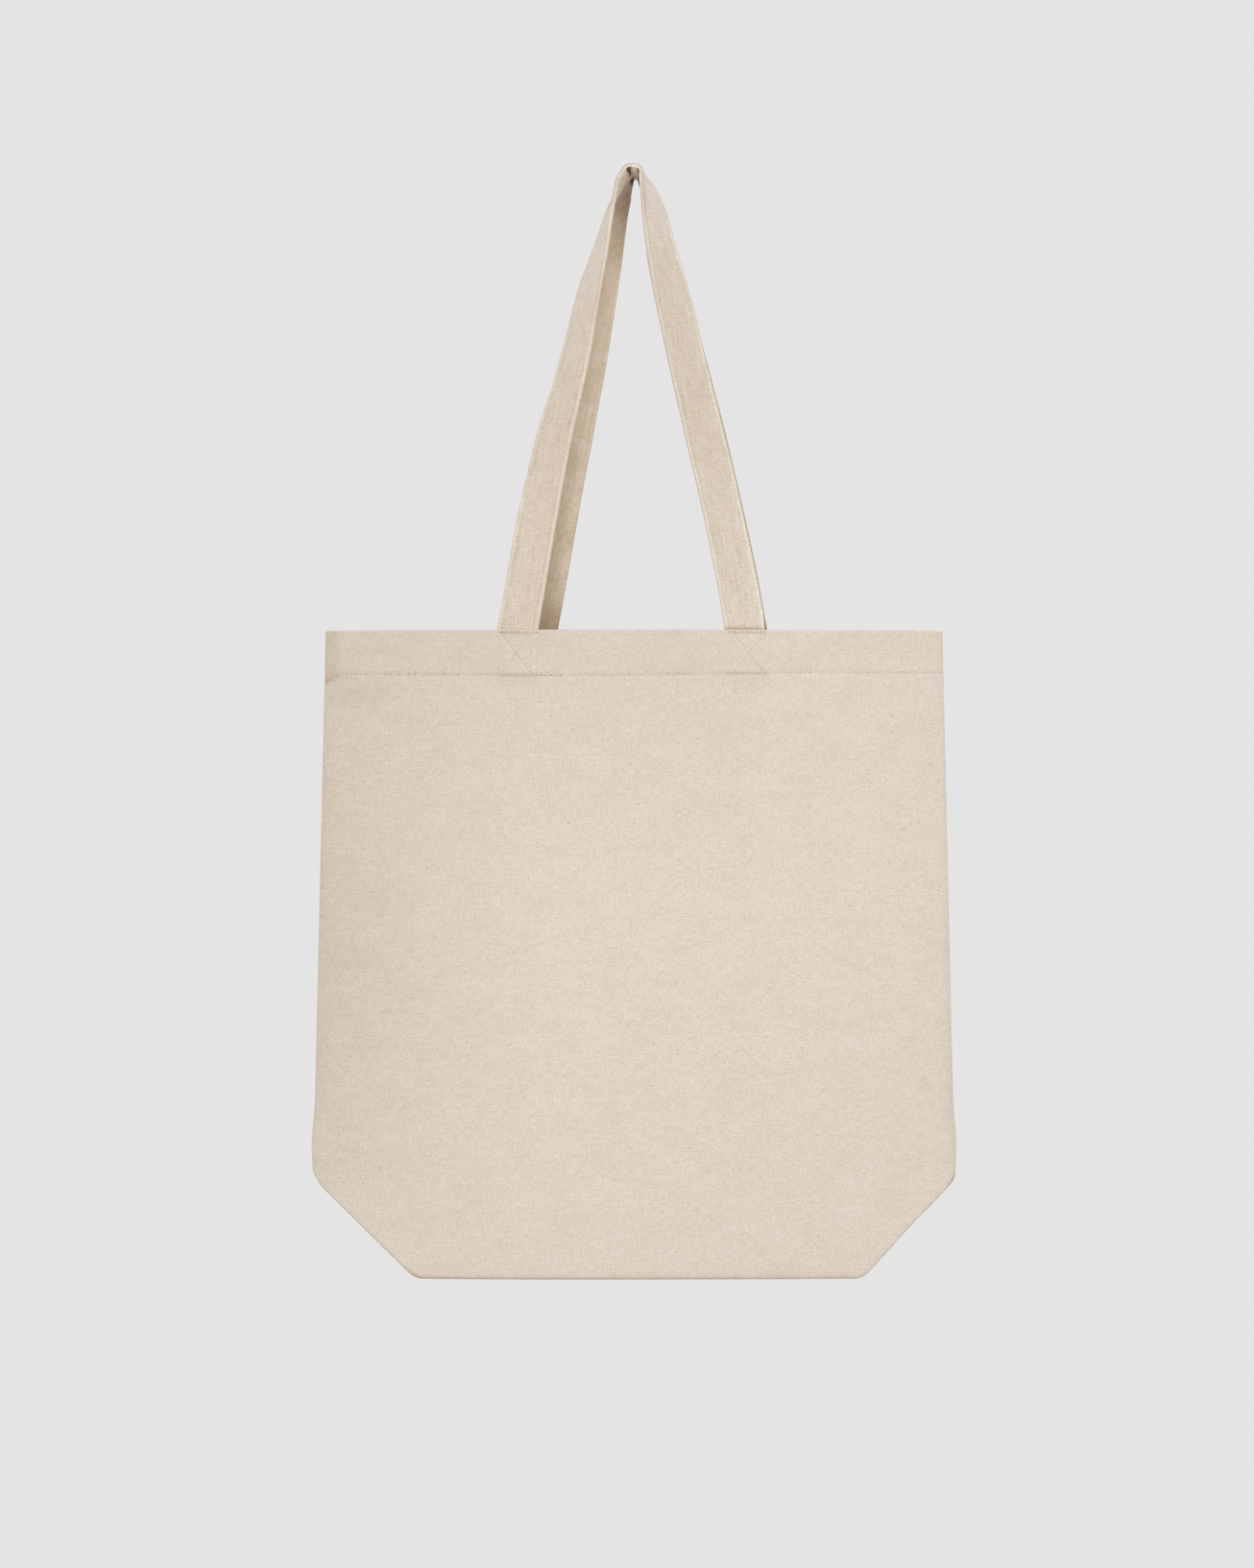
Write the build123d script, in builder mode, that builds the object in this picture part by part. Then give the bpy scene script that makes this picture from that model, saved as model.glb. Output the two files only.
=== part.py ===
from build123d import *

import math
import os
from typing import NamedTuple

# Canvas tote bag hung from a peg by both handles, with its boxed base folded up between the walls.
# Millimetres, +Z up, +X to the right and +Y to the back. The origin is the middle of the peg.

# Body cloth, as cut and sewn
MOUTH_WIDTH = 380.0
CORNER_WIDTH = 396.0
PANEL_HEIGHT = 400.0
GUSSET_DEPTH = 120.0
CORNER_RADIUS = 8.0
CLOTH = 0.9
SEAM_LAYERS = 2
SEAM_WIDTH = 10.0
CORNER_SEAM_WIDTH = 8.0
HEM_DEPTH = 27.0
HEM_LAYERS = 2

# How far each wall stands out from its side edges, at three heights
BASE_BOW = 12.0
BELLY_BOW = 19.0
BELLY_HEIGHT = 160.0
MOUTH_BOW = 19.0

# Handles
STRAP_WIDTH = 25.0
STRAP_THICKNESS = 2.6
STRAP_DROP = 281.0
PEG_RADIUS = 3.5
STRAP_SPACING = 0.6
LEG_STATIONS = 14

# Where each leg's middle is sewn to the hem; the back handle sits further right than the front one
FRONT_LEFT_X = -70.0
FRONT_RIGHT_X = 70.0
BACK_LEFT_X = -58.0
BACK_RIGHT_X = 70.5

# How far each leg bows outwards on its way up
FRONT_LEFT_BOW = 5.0
FRONT_RIGHT_BOW = 2.0
BACK_LEFT_BOW = 0.0
BACK_RIGHT_BOW = 2.0

# Share of the way up at which each leg starts to turn edge-on
FRONT_LEFT_TWIST = 0.10
FRONT_RIGHT_TWIST = 0.55
BACK_LEFT_TWIST = 0.50
BACK_RIGHT_TWIST = 0.55

# Clearances
FOLD_GAP = 0.1
ROOT_GAP = 0.3
SEAM_END_GAP = 0.3
TUCK_OPENING = 1.2

FRONT = -1
BACK = 1
LEFT = -1
RIGHT = 1


class Leg(NamedTuple):
    """One leg of a handle: where it is sewn, how far it bows outwards, and where its twist starts."""

    hem_x: float
    bow: float
    twist_start: float


HANDLE_LEGS = {
    FRONT: {
        LEFT: Leg(FRONT_LEFT_X, FRONT_LEFT_BOW, FRONT_LEFT_TWIST),
        RIGHT: Leg(FRONT_RIGHT_X, FRONT_RIGHT_BOW, FRONT_RIGHT_TWIST),
    },
    BACK: {
        LEFT: Leg(BACK_LEFT_X, BACK_LEFT_BOW, BACK_LEFT_TWIST),
        RIGHT: Leg(BACK_RIGHT_X, BACK_RIGHT_BOW, BACK_RIGHT_TWIST),
    },
}

# Derived sizes
TUCK = GUSSET_DEPTH / 2
BASE_WIDTH = CORNER_WIDTH - GUSSET_DEPTH
SEAM_THICKNESS = SEAM_LAYERS * CLOTH
EDGE_HALF = CLOTH + FOLD_GAP + SEAM_THICKNESS / 2
HEM_INSET = CLOTH + FOLD_GAP
TAIL_INSET = HEM_INSET + HEM_LAYERS * CLOTH + FOLD_GAP
TUCK_INSET = CLOTH + FOLD_GAP
HEM_FOOT = PANEL_HEIGHT - HEM_DEPTH
MOUTH_Z = -STRAP_DROP
BASE_Z = MOUTH_Z - PANEL_HEIGHT
BAG_DEPTH = 2 * (EDGE_HALF + max(BASE_BOW, BELLY_BOW, MOUTH_BOW))
LEVELS = [
    (0.0, BASE_BOW),
    (BELLY_HEIGHT, BELLY_BOW),
    (HEM_FOOT, MOUTH_BOW),
    (PANEL_HEIGHT, MOUTH_BOW),
]


def level_plane(height):
    """The horizontal plane at a height above the bottom crease."""
    return Plane.XY.offset(BASE_Z + height)


def half_width(height):
    """Half the bag's width; the sides spread evenly from the mouth to the corner folds."""
    spread = (CORNER_WIDTH - MOUTH_WIDTH) / 2
    return MOUTH_WIDTH / 2 + spread * (PANEL_HEIGHT - height) / (PANEL_HEIGHT - TUCK)


def bow(height):
    """How far a wall stands out at a height, in straight lines between the levels."""
    for (low, low_bow), (high, high_bow) in zip(LEVELS, LEVELS[1:]):
        if height <= high:
            return low_bow + (high_bow - low_bow) * (height - low) / (high - low)
    return MOUTH_BOW


def wall_face(x, height):
    """Distance of a wall's outer face from the middle plane: a shallow arc from side to side."""
    width, rise = half_width(height), bow(height)
    radius = (width**2 + rise**2) / (2 * rise)
    return EDGE_HALF + rise - radius + math.sqrt(radius**2 - x**2)


def tuck_face(x, height):
    """Distance of the tucked base's upper face from the middle plane: it leans in to the ridge."""
    crease = wall_face(x, 0) - TUCK_INSET
    ridge = FOLD_GAP + CLOTH
    return crease + (ridge - crease) * height / TUCK


def cloth_band(side, height, x_from, x_to, inset, thickness):
    """Draws a strip of cloth that follows a wall, seen from above, at one height."""
    middle = (x_from + x_to) / 2

    def at(x, depth):
        return (x, side * (wall_face(x, height) - depth))

    deep = inset + thickness
    with BuildLine() as edges_of_band:
        outer = ThreePointArc(at(x_from, inset), at(middle, inset), at(x_to, inset))
        inner = ThreePointArc(at(x_from, deep), at(middle, deep), at(x_to, deep))
        Line(outer @ 0, inner @ 0)
        Line(outer @ 1, inner @ 1)
    make_face(edges_of_band.edges())


def panel_outline():
    """Draws the front view: tapered sides, and corners folded in at forty-five degrees."""
    mouth, corner, base = MOUTH_WIDTH / 2, CORNER_WIDTH / 2, BASE_WIDTH / 2
    right_half = [(mouth, MOUTH_Z), (corner, BASE_Z + TUCK), (base, BASE_Z)]
    left_half = [(-x, z) for x, z in reversed(right_half)]
    with BuildLine() as outline:
        Polyline(*right_half, *left_half, close=True)
        fillet(outline.vertices().sort_by(Axis.Y)[:4], CORNER_RADIUS)
    make_face(outline.edges())


def wall_panel(side):
    """One wall of the bag, from the bottom crease to the mouth."""
    with BuildPart() as panel:
        for height, _ in LEVELS:
            reach = half_width(height)
            with BuildSketch(level_plane(height)):
                cloth_band(side, height, -reach, reach, 0, CLOTH)
        loft(ruled=True)
        with BuildSketch(Plane.XZ):
            panel_outline()
        extrude(amount=BAG_DEPTH, both=True, mode=Mode.INTERSECT)
    return panel.part


def base_half(side):
    """One half of the base with its corner triangles, folded up from the crease to the ridge."""
    with BuildPart() as base:
        reach = half_width(0)
        with BuildSketch(level_plane(0)):
            cloth_band(side, 0, -reach, reach, TUCK_INSET, CLOTH)
        with BuildSketch(level_plane(TUCK)):
            with Locations((0, side * (FOLD_GAP + CLOTH / 2))):
                Rectangle(2 * half_width(TUCK), CLOTH)
        loft(ruled=True)
        with BuildSketch(Plane.XZ):
            panel_outline()
        extrude(amount=BAG_DEPTH, both=True, mode=Mode.INTERSECT)
    return base.part


def mouth_hem(side):
    """The turned-in hem of one wall, between the side seams."""
    with BuildPart() as hem:
        for height in (HEM_FOOT, PANEL_HEIGHT):
            reach = half_width(height) - FOLD_GAP - SEAM_WIDTH - SEAM_END_GAP
            with BuildSketch(level_plane(height)):
                cloth_band(side, height, -reach, reach, HEM_INSET, HEM_LAYERS * CLOTH)
        loft(ruled=True)
    return hem.part


def strap_tail(side, leg):
    """The end of a handle that is sewn flat to the inside of the hem."""
    with BuildPart() as tail:
        for height in (HEM_FOOT, PANEL_HEIGHT):
            x_from, x_to = leg.hem_x - STRAP_WIDTH / 2, leg.hem_x + STRAP_WIDTH / 2
            with BuildSketch(level_plane(height)):
                cloth_band(side, height, x_from, x_to, TAIL_INSET, STRAP_THICKNESS)
        loft(ruled=True)
    return tail.part


def side_seam(side):
    """Seam allowance of one side: upright between the walls, then along the ridge where it is tucked."""
    foot = TUCK + SEAM_END_GAP
    ridge_top = TUCK + FOLD_GAP + SEAM_WIDTH

    def edge(height):
        return side * (half_width(height) - FOLD_GAP)

    def inner(height):
        return edge(height) - side * SEAM_WIDTH

    with BuildPart() as seam:
        with BuildSketch(Plane.XZ):
            with BuildLine():
                Polyline(
                    (edge(foot + CORNER_RADIUS), BASE_Z + foot + CORNER_RADIUS),
                    (edge(PANEL_HEIGHT), MOUTH_Z),
                    (inner(PANEL_HEIGHT), MOUTH_Z),
                    (inner(foot), BASE_Z + foot),
                    close=True,
                )
            make_face()
            with BuildLine():
                tucked_end = inner(ridge_top) - side * SEAM_END_GAP
                Polyline(
                    (side * (BASE_WIDTH / 2 + SEAM_END_GAP), BASE_Z + TUCK + FOLD_GAP),
                    (tucked_end, BASE_Z + TUCK + FOLD_GAP),
                    (tucked_end, BASE_Z + ridge_top),
                    (side * (BASE_WIDTH / 2 + SEAM_END_GAP), BASE_Z + ridge_top),
                    close=True,
                )
            make_face()
        extrude(amount=SEAM_THICKNESS / 2, both=True)
    return seam.part


def base_seam():
    """Seam allowance along the ridge, where the two halves of the base are joined."""
    with BuildPart() as seam:
        with BuildSketch(level_plane(TUCK + FOLD_GAP)):
            Rectangle(BASE_WIDTH, SEAM_THICKNESS)
        extrude(amount=SEAM_WIDTH)
    return seam.part


def corner_seam(side):
    """Seam allowances of one boxed corner, flat on the front and back halves of the base."""
    outer = side * (BASE_WIDTH / 2)
    inner = outer - side * CORNER_SEAM_WIDTH
    spread = (wall_face(outer, TUCK) - CLOTH - tuck_face(outer, TUCK)) / TUCK
    foot = (SEAM_THICKNESS + TUCK_OPENING) / spread
    with BuildPart() as seam:
        for wall in (FRONT, BACK):
            for height in (foot, TUCK - FOLD_GAP):
                near = [(x, wall * (tuck_face(x, height) + FOLD_GAP)) for x in (inner, outer)]
                far = [(x, y + wall * SEAM_THICKNESS) for x, y in reversed(near)]
                with BuildSketch(level_plane(height)):
                    with BuildLine():
                        Polyline(*near, *far, close=True)
                    make_face()
            loft(ruled=True)
    return seam.part


def handle_strap(side, legs):
    """The free part of one handle: two legs that twist as they rise, and the bend over the peg."""
    top_y = side * (STRAP_WIDTH + STRAP_SPACING) / 2
    bend_x = PEG_RADIUS + STRAP_THICKNESS / 2
    root_z = MOUTH_Z + ROOT_GAP
    with BuildPart() as strap:
        with BuildSketch(Plane.XZ.offset(-top_y)):
            Circle(PEG_RADIUS + STRAP_THICKNESS)
            Circle(PEG_RADIUS, mode=Mode.SUBTRACT)
            with Locations((0, -PEG_RADIUS - STRAP_THICKNESS)):
                square = 2 * (PEG_RADIUS + STRAP_THICKNESS)
                Rectangle(square, square, mode=Mode.SUBTRACT)
        extrude(amount=STRAP_WIDTH / 2, both=True)
        for hand, leg in legs.items():
            root_y = side * (wall_face(leg.hem_x, PANEL_HEIGHT) - TAIL_INSET - STRAP_THICKNESS / 2)
            reach = STRAP_WIDTH / 2
            slope = wall_face(leg.hem_x + reach, PANEL_HEIGHT) - wall_face(leg.hem_x - reach, PANEL_HEIGHT)
            root_turn = math.degrees(math.atan2(side * slope, STRAP_WIDTH))
            top_turn = -hand * side * 90
            for station in range(LEG_STATIONS + 1):
                share = station / LEG_STATIONS
                sway = hand * leg.bow * math.sin(math.pi * share)
                x = leg.hem_x + (hand * bend_x - leg.hem_x) * share + sway
                y = root_y + (top_y - root_y) * share
                twist = max(0.0, share - leg.twist_start) / (1 - leg.twist_start)
                turn = root_turn + (top_turn - root_turn) * twist
                with BuildSketch(Plane.XY.offset(root_z * (1 - share))):
                    with Locations((x, y)):
                        Rectangle(STRAP_WIDTH, STRAP_THICKNESS, rotation=turn)
            loft(ruled=True)
    return strap.part


pieces = {
    "front_panel": wall_panel(FRONT),
    "back_panel": wall_panel(BACK),
    "front_base_half": base_half(FRONT),
    "back_base_half": base_half(BACK),
    "base_seam": base_seam(),
    "left_side_seam": side_seam(LEFT),
    "right_side_seam": side_seam(RIGHT),
    "left_corner_seam": corner_seam(LEFT),
    "right_corner_seam": corner_seam(RIGHT),
    "front_hem": mouth_hem(FRONT),
    "back_hem": mouth_hem(BACK),
    "front_left_tail": strap_tail(FRONT, HANDLE_LEGS[FRONT][LEFT]),
    "front_right_tail": strap_tail(FRONT, HANDLE_LEGS[FRONT][RIGHT]),
    "back_left_tail": strap_tail(BACK, HANDLE_LEGS[BACK][LEFT]),
    "back_right_tail": strap_tail(BACK, HANDLE_LEGS[BACK][RIGHT]),
    "front_handle_strap": handle_strap(FRONT, HANDLE_LEGS[FRONT]),
    "back_handle_strap": handle_strap(BACK, HANDLE_LEGS[BACK]),
}

os.makedirs("parts", exist_ok=True)
for name, piece in pieces.items():
    piece.label = name
    export_step(piece, f"parts/{name}.step")
    print(name, len(piece.solids()), "solid", round(piece.volume), "mm3")
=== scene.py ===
# %% [markdown]
# # A canvas tote bag, hung by both handles
# The solids from CAD are stiff plates. Here each one is replaced by cloth: walls that bow and ripple, edges
# that turn over in soft folds, straps that twist on their way up to their bend, and every visible stitch.
# The frame comes first, because each piece of cloth has to sit where its solid sits and move with its body.

# %% Load the frame
import math

import bpy
import numpy as np
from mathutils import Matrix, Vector


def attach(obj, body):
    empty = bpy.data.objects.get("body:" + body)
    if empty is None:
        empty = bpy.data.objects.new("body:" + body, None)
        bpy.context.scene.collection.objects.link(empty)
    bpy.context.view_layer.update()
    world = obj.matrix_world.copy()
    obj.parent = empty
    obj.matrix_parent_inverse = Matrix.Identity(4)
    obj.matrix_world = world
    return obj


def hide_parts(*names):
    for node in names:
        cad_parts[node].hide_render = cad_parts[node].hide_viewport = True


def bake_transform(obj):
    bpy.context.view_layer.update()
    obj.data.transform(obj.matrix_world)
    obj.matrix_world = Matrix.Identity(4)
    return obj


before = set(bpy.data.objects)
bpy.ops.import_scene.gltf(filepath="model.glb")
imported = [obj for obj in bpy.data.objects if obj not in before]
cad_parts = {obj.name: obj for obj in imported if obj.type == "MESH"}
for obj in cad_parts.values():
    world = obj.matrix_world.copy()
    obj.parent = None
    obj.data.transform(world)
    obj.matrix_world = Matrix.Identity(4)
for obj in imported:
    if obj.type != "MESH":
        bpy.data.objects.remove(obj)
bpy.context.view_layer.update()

# %% [markdown]
# ## The bag's measures
# These are the sizes that the bag was cut and sewn to, in metres, with heights counted up from the bottom
# crease. The origin is the middle of the handles' bend, so nearly all of the bag is below zero. The outline
# is written as formulas and not drawn as curves, so that every later piece can ask for the width or the
# crease at its own place.

# %% Measures
MM = 0.001
FRONT, BACK = -1, 1
LEFT, RIGHT = -1, 1
SIDES = ((FRONT, "front"), (BACK, "back"))
HANDS = ((LEFT, "left"), (RIGHT, "right"))

CLOTH = 0.9 * MM
MOUTH_Z = -281 * MM
PANEL_HEIGHT = 400 * MM
BASE_Z = MOUTH_Z - PANEL_HEIGHT
CORNER_HALF = 198.2 * MM


def bell(value, middle, width):
    """One at the middle, fading away within about two widths on both sides."""
    return np.exp(-(((value - middle) / width) ** 2))


def ease(t):
    """Goes smoothly from 0 to 1 as t does."""
    t = np.clip(t, 0, 1)
    return t * t * (3 - 2 * t)


def half_width(h):
    """Half the bag's width: the sides spread towards the corner folds, with a soft bump above them."""
    mouth_half, spread, spread_height = 190.4, 7.8, 340
    bump = 1.4 * MM * bell(h, 84 * MM, 15 * MM)
    return (mouth_half + spread * (400 - h / MM) / spread_height) * MM + bump


def bow(h):
    """How far a wall stands out in the middle: least at the bottom crease."""
    t = np.clip(h / (180 * MM), 0, 1)
    return (12 + 7 * (1 - (1 - t) ** 2)) * MM


def crease_height(x):
    """Height of the bottom outline: level in the middle, then rising along the folded corners."""
    left = -(x + 134.1 * MM) * 0.956
    right = (x - 139.9 * MM) * 1.035 + 0.9 * MM * bell(x, 168 * MM, 11 * MM)
    rise = np.maximum(left, right)
    soft = 4 * MM
    blend = np.clip((rise + soft) / (2 * soft), 0, 1)
    reach = np.where(x < 0, 6.5 * MM, 4 * MM)
    t = np.clip((np.abs(x) - (CORNER_HALF - reach)) / reach, 0, 1)
    corner = np.where(x < 0, 7.5 * MM, 4 * MM) * (1 - np.sqrt(1 - 0.97 * t**2))
    return np.where(rise > soft, rise, soft * blend**2) + corner


print("width at the mouth", round(2 * float(half_width(PANEL_HEIGHT)) / MM), "mm")

# %% [markdown]
# ## The camera
# The photo looks straight at the front from about three quarters of the way up the walls, with a long lens.
# A 100 mm lens at 2.7 m gives that view; the bag's middle is a few millimetres right of the picture's
# middle.

# %% Camera
scene = bpy.context.scene
camera_data = bpy.data.cameras.new("camera")
camera_data.lens = 100
camera_data.sensor_width = 36
camera = bpy.data.objects.new("camera", camera_data)
camera.location = (-4.3 * MM, -2.695, BASE_Z + 305.1 * MM)
camera.rotation_euler = (math.pi / 2, 0, 0)
scene.collection.objects.link(camera)
scene.camera = camera
print("camera", [round(v, 3) for v in camera.location])

# %% [markdown]
# ## Light, background and floor
# The photo has very soft light, as from a white tent: hardly any shadow, with a little more from the front.
# A ring of many lamps could do that, but an even white sky is simpler and has no bright spots. Two wide
# lamps in front add the soft shade behind the straps. The grey is only what the camera sees, directly or
# mirrored, so it doesn't change how brightly the cloth is lit.

# %% Lamps
scene.view_settings.view_transform = "Standard"
aim_point = Vector((0, 0, -0.40))
for name, x, watts in (("left_lamp", -0.58, 13), ("right_lamp", 0.58, 10.4)):
    lamp_data = bpy.data.lights.new(name, "AREA")
    lamp_data.shape = "DISK"
    lamp_data.size = 1.0
    lamp_data.energy = watts
    lamp = bpy.data.objects.new(name, lamp_data)
    lamp.location = (x, -2.18, 0.42)
    lamp.rotation_euler = (aim_point - lamp.location).to_track_quat("-Z", "Y").to_euler()
    scene.collection.objects.link(lamp)

# %% Sky
def maths(tree, kind, operation, values):
    """Adds a step of maths to a node tree; each value is a number, three numbers or a node's output."""
    node = tree.nodes.new(kind)
    node.operation = operation
    for socket, value in zip(node.inputs, values):
        if isinstance(value, bpy.types.NodeSocket):
            tree.links.new(value, socket)
        else:
            socket.default_value = value
    return node.outputs[0]


def number(tree, operation, *values):
    return maths(tree, "ShaderNodeMath", operation, values)


world = bpy.data.worlds.new("studio")
scene.world = world
world.use_nodes = True
sky = world.node_tree
sky.nodes.clear()
seen = sky.nodes.new("ShaderNodeBackground")
seen.inputs["Color"].default_value = (0.776, 0.776, 0.776, 1)
fill = sky.nodes.new("ShaderNodeBackground")
fill.inputs["Color"].default_value = (1, 1, 1, 1)
fill.inputs["Strength"].default_value = 0.65
rays = sky.nodes.new("ShaderNodeLightPath")
direct = rays.outputs["Is Camera Ray"]
for kind in ("Is Glossy Ray", "Is Transmission Ray"):
    direct = number(sky, "MAXIMUM", direct, rays.outputs[kind])
mix = sky.nodes.new("ShaderNodeMixShader")
sky.links.new(direct, mix.inputs["Fac"])
sky.links.new(fill.outputs[0], mix.inputs[1])
sky.links.new(seen.outputs[0], mix.inputs[2])
surface = sky.nodes.new("ShaderNodeOutputWorld")
sky.links.new(mix.outputs[0], surface.inputs["Surface"])
print("sky", len(sky.nodes), "nodes")

# %% Floor
FLOOR_Z = BASE_Z - 0.40


def new_material(name):
    """A new material with its node tree and its shader."""
    material = bpy.data.materials.new(name)
    material.use_nodes = True
    return material, material.node_tree, material.node_tree.nodes["Principled BSDF"]


bpy.ops.mesh.primitive_circle_add(vertices=96, radius=0.8, fill_type="NGON", location=(0, 0, FLOOR_Z))
floor = bpy.context.object
floor.name = "floor"
paper, _, paper_shader = new_material("pale_floor")
paper_shader.inputs["Base Color"].default_value = (0.78, 0.78, 0.78, 1)
paper_shader.inputs["Roughness"].default_value = 0.9
floor.data.materials.append(paper)
print("floor", round(floor.location.z, 3))

# %% [markdown]
# ## The canvas
# The cloth is a plain weave in undyed yarn. Up close it shows crossing threads; from a step away it shows a
# heather of slightly lighter and darker yarns, thick places in the weft, faint clouds and a few dark
# flecks. A picture of cloth would repeat and blur, so each kind of unevenness is a noise of its own width
# and height. All of it is drawn in the cloth's own coordinates, a UV map in metres, so it turns with each
# fold and strap.

# %% Yarns
# Width and height of each kind of unevenness in mm, and how much lighter and darker it makes the cloth.
WALL_YARNS = (
    (1.0, 1.0, 0.10),
    (5.0, 0.7, 0.056),
    (0.7, 5.0, 0.06),
    (24.0, 0.8, 0.03),
    (0.8, 24.0, 0.02),
    (26.0, 18.0, 0.02),
    (6.0, 5.0, 0.02),
)
STRAP_YARNS = (
    (1.0, 1.0, 0.10),
    (9.0, 0.7, 0.095),
    (0.7, 6.0, 0.085),
    (45.0, 1.0, 0.06),
    (20.0, 9.0, 0.028),
)
# A darker yarn is also a browner one, so blue changes most.
YARN_TINT = (0.83, 1.0, 1.23)


def vector(tree, operation, *values):
    return maths(tree, "ShaderNodeVectorMath", operation, values)


def noise_node(tree, cloth, wide, tall, detail=2.0):
    """Noise whose grain is so many mm wide and tall."""
    noise = tree.nodes.new("ShaderNodeTexNoise")
    noise.inputs["Scale"].default_value = 1.0
    noise.inputs["Detail"].default_value = detail
    scaled = vector(tree, "MULTIPLY", cloth, (1 / (wide * MM), 1 / (tall * MM), 1))
    tree.links.new(scaled, noise.inputs["Vector"])
    return noise.outputs["Fac"]


def range_node(tree, value, low, high, to_low, to_high):
    node = tree.nodes.new("ShaderNodeMapRange")
    tree.links.new(value, node.inputs["Value"])
    for name, limit in (("From Min", low), ("From Max", high), ("To Min", to_low), ("To Max", to_high)):
        node.inputs[name].default_value = limit
    return node.outputs["Result"]


def yarn_shade(tree, cloth, uneven):
    """Lighter and darker yarns with a few dark flecks, and the two finest kinds of yarn for the weave."""
    yarns = [noise_node(tree, cloth, wide, tall) for wide, tall, _ in uneven]
    fleck = noise_node(tree, cloth, 2.4, 1.3, detail=1.0)
    shade = range_node(tree, fleck, 0.69, 0.77, 0.0, -0.30)
    for yarn, (_, _, strength) in zip(yarns, uneven):
        shade = number(tree, "ADD", shade, range_node(tree, yarn, 0.3, 0.7, -strength, strength))
    mottled = vector(tree, "MULTIPLY_ADD", shade, YARN_TINT, (1, 1, 1))
    return mottled, yarns[0], yarns[1]


print("kinds of yarn", len(WALL_YARNS), "on the walls and", len(STRAP_YARNS), "on the straps")

# %% Painted shade, tone and warmth
# What is left of red, green and blue where the painted shade and tone or the warmth is one, and the darkest
# that the painted shade goes.
SHADE_AND_TONE_TINT = (0.86, 0.835, 0.80)
# The warmth is a little on the hem band and is painted warm bounced light on the back strap's inner face.
WARM = (1.02, 0.99, 0.90)
DEEPEST = (0.17, 0.145, 0.105)


def shaded_and_toned(tree, colour):
    """The yarn's colour, changed at each point by the painted shade and tone and by the warmth that the cloth
    holds there.
    """
    tinted = colour
    for kind, factor in (("shade_and_tone", SHADE_AND_TONE_TINT), ("warm", WARM)):
        amount = tree.nodes.new("ShaderNodeAttribute")
        amount.attribute_name = kind
        change = [c * (f - 1) for c, f in zip(colour, factor)]
        tinted = vector(tree, "MULTIPLY_ADD", amount.outputs["Fac"], change, tinted)
    return vector(tree, "MAXIMUM", tinted, [c * d for c, d in zip(colour, DEEPEST)])


print("soil leaves", SHADE_AND_TONE_TINT, "and warmth", WARM)

# %% Weave
THREAD_PITCH = 0.62 * MM
TOP_SHARE = 1.2


def bump_node(tree, height, distance, strength):
    bump = tree.nodes.new("ShaderNodeBump")
    bump.inputs["Distance"].default_value = distance
    bump.inputs["Strength"].default_value = strength
    tree.links.new(height, bump.inputs["Height"])
    return bump.outputs[0]


def weave_bump(tree, cloth, grain, weft):
    """Threads as cosine ridges that take turns on top, uneven because the yarn is uneven."""
    place = tree.nodes.new("ShaderNodeSeparateXYZ")
    tree.links.new(cloth, place.inputs[0])
    wobble = number(tree, "MULTIPLY", grain, 0.5 * MM)
    waves = []
    for axis in ("X", "Y"):
        moved = number(tree, "ADD", place.outputs[axis], wobble)
        waves.append(number(tree, "MULTIPLY", moved, math.pi / THREAD_PITCH))
    turn = number(tree, "MULTIPLY", *[number(tree, "COSINE", wave) for wave in waves])
    ridge_u, ridge_v = [number(tree, "ABSOLUTE", number(tree, "SINE", wave)) for wave in waves]
    top_u = number(tree, "MULTIPLY", ridge_u, number(tree, "ADD", turn, TOP_SHARE))
    top_v = number(tree, "MULTIPLY", ridge_v, number(tree, "SUBTRACT", TOP_SHARE, turn))
    height = number(tree, "MULTIPLY", number(tree, "MAXIMUM", top_u, top_v), 0.10)
    for yarn in (weft, grain):
        height = number(tree, "ADD", height, number(tree, "MULTIPLY", yarn, 0.35))
    return bump_node(tree, height, 0.35 * MM, 0.6)


print("threads in a centimetre", round(10 * MM / THREAD_PITCH))

# %% Canvas material
def canvas(name, colour, uneven=WALL_YARNS):
    """Plain-weave canvas in one shade of undyed yarn."""
    material, tree, shader = new_material(name)
    uv = tree.nodes.new("ShaderNodeUVMap")
    uv.uv_map = "cloth"
    cloth = uv.outputs["UV"]
    mottled, grain, weft = yarn_shade(tree, cloth, uneven)
    tree.links.new(vector(tree, "MULTIPLY", shaded_and_toned(tree, colour), mottled), shader.inputs["Base Color"])
    tree.links.new(weave_bump(tree, cloth, grain, weft), shader.inputs["Normal"])
    tree.links.new(range_node(tree, grain, 0.3, 0.7, 0.86, 0.98), shader.inputs["Roughness"])
    shader.inputs["Specular IOR Level"].default_value = 0.25
    shader.inputs["Sheen Weight"].default_value = 0.08
    shader.inputs["Sheen Roughness"].default_value = 0.6
    return material


body_canvas = canvas("body_canvas", (0.748, 0.656, 0.566))
hem_canvas = canvas("hem_canvas", (0.725, 0.632, 0.540))
seam_canvas = canvas("seam_canvas", (0.715, 0.625, 0.535))
strap_canvas = canvas("strap_canvas", (0.700, 0.598, 0.497), STRAP_YARNS)
print("canvas", [m.name for m in (body_canvas, hem_canvas, seam_canvas, strap_canvas)])
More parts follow.
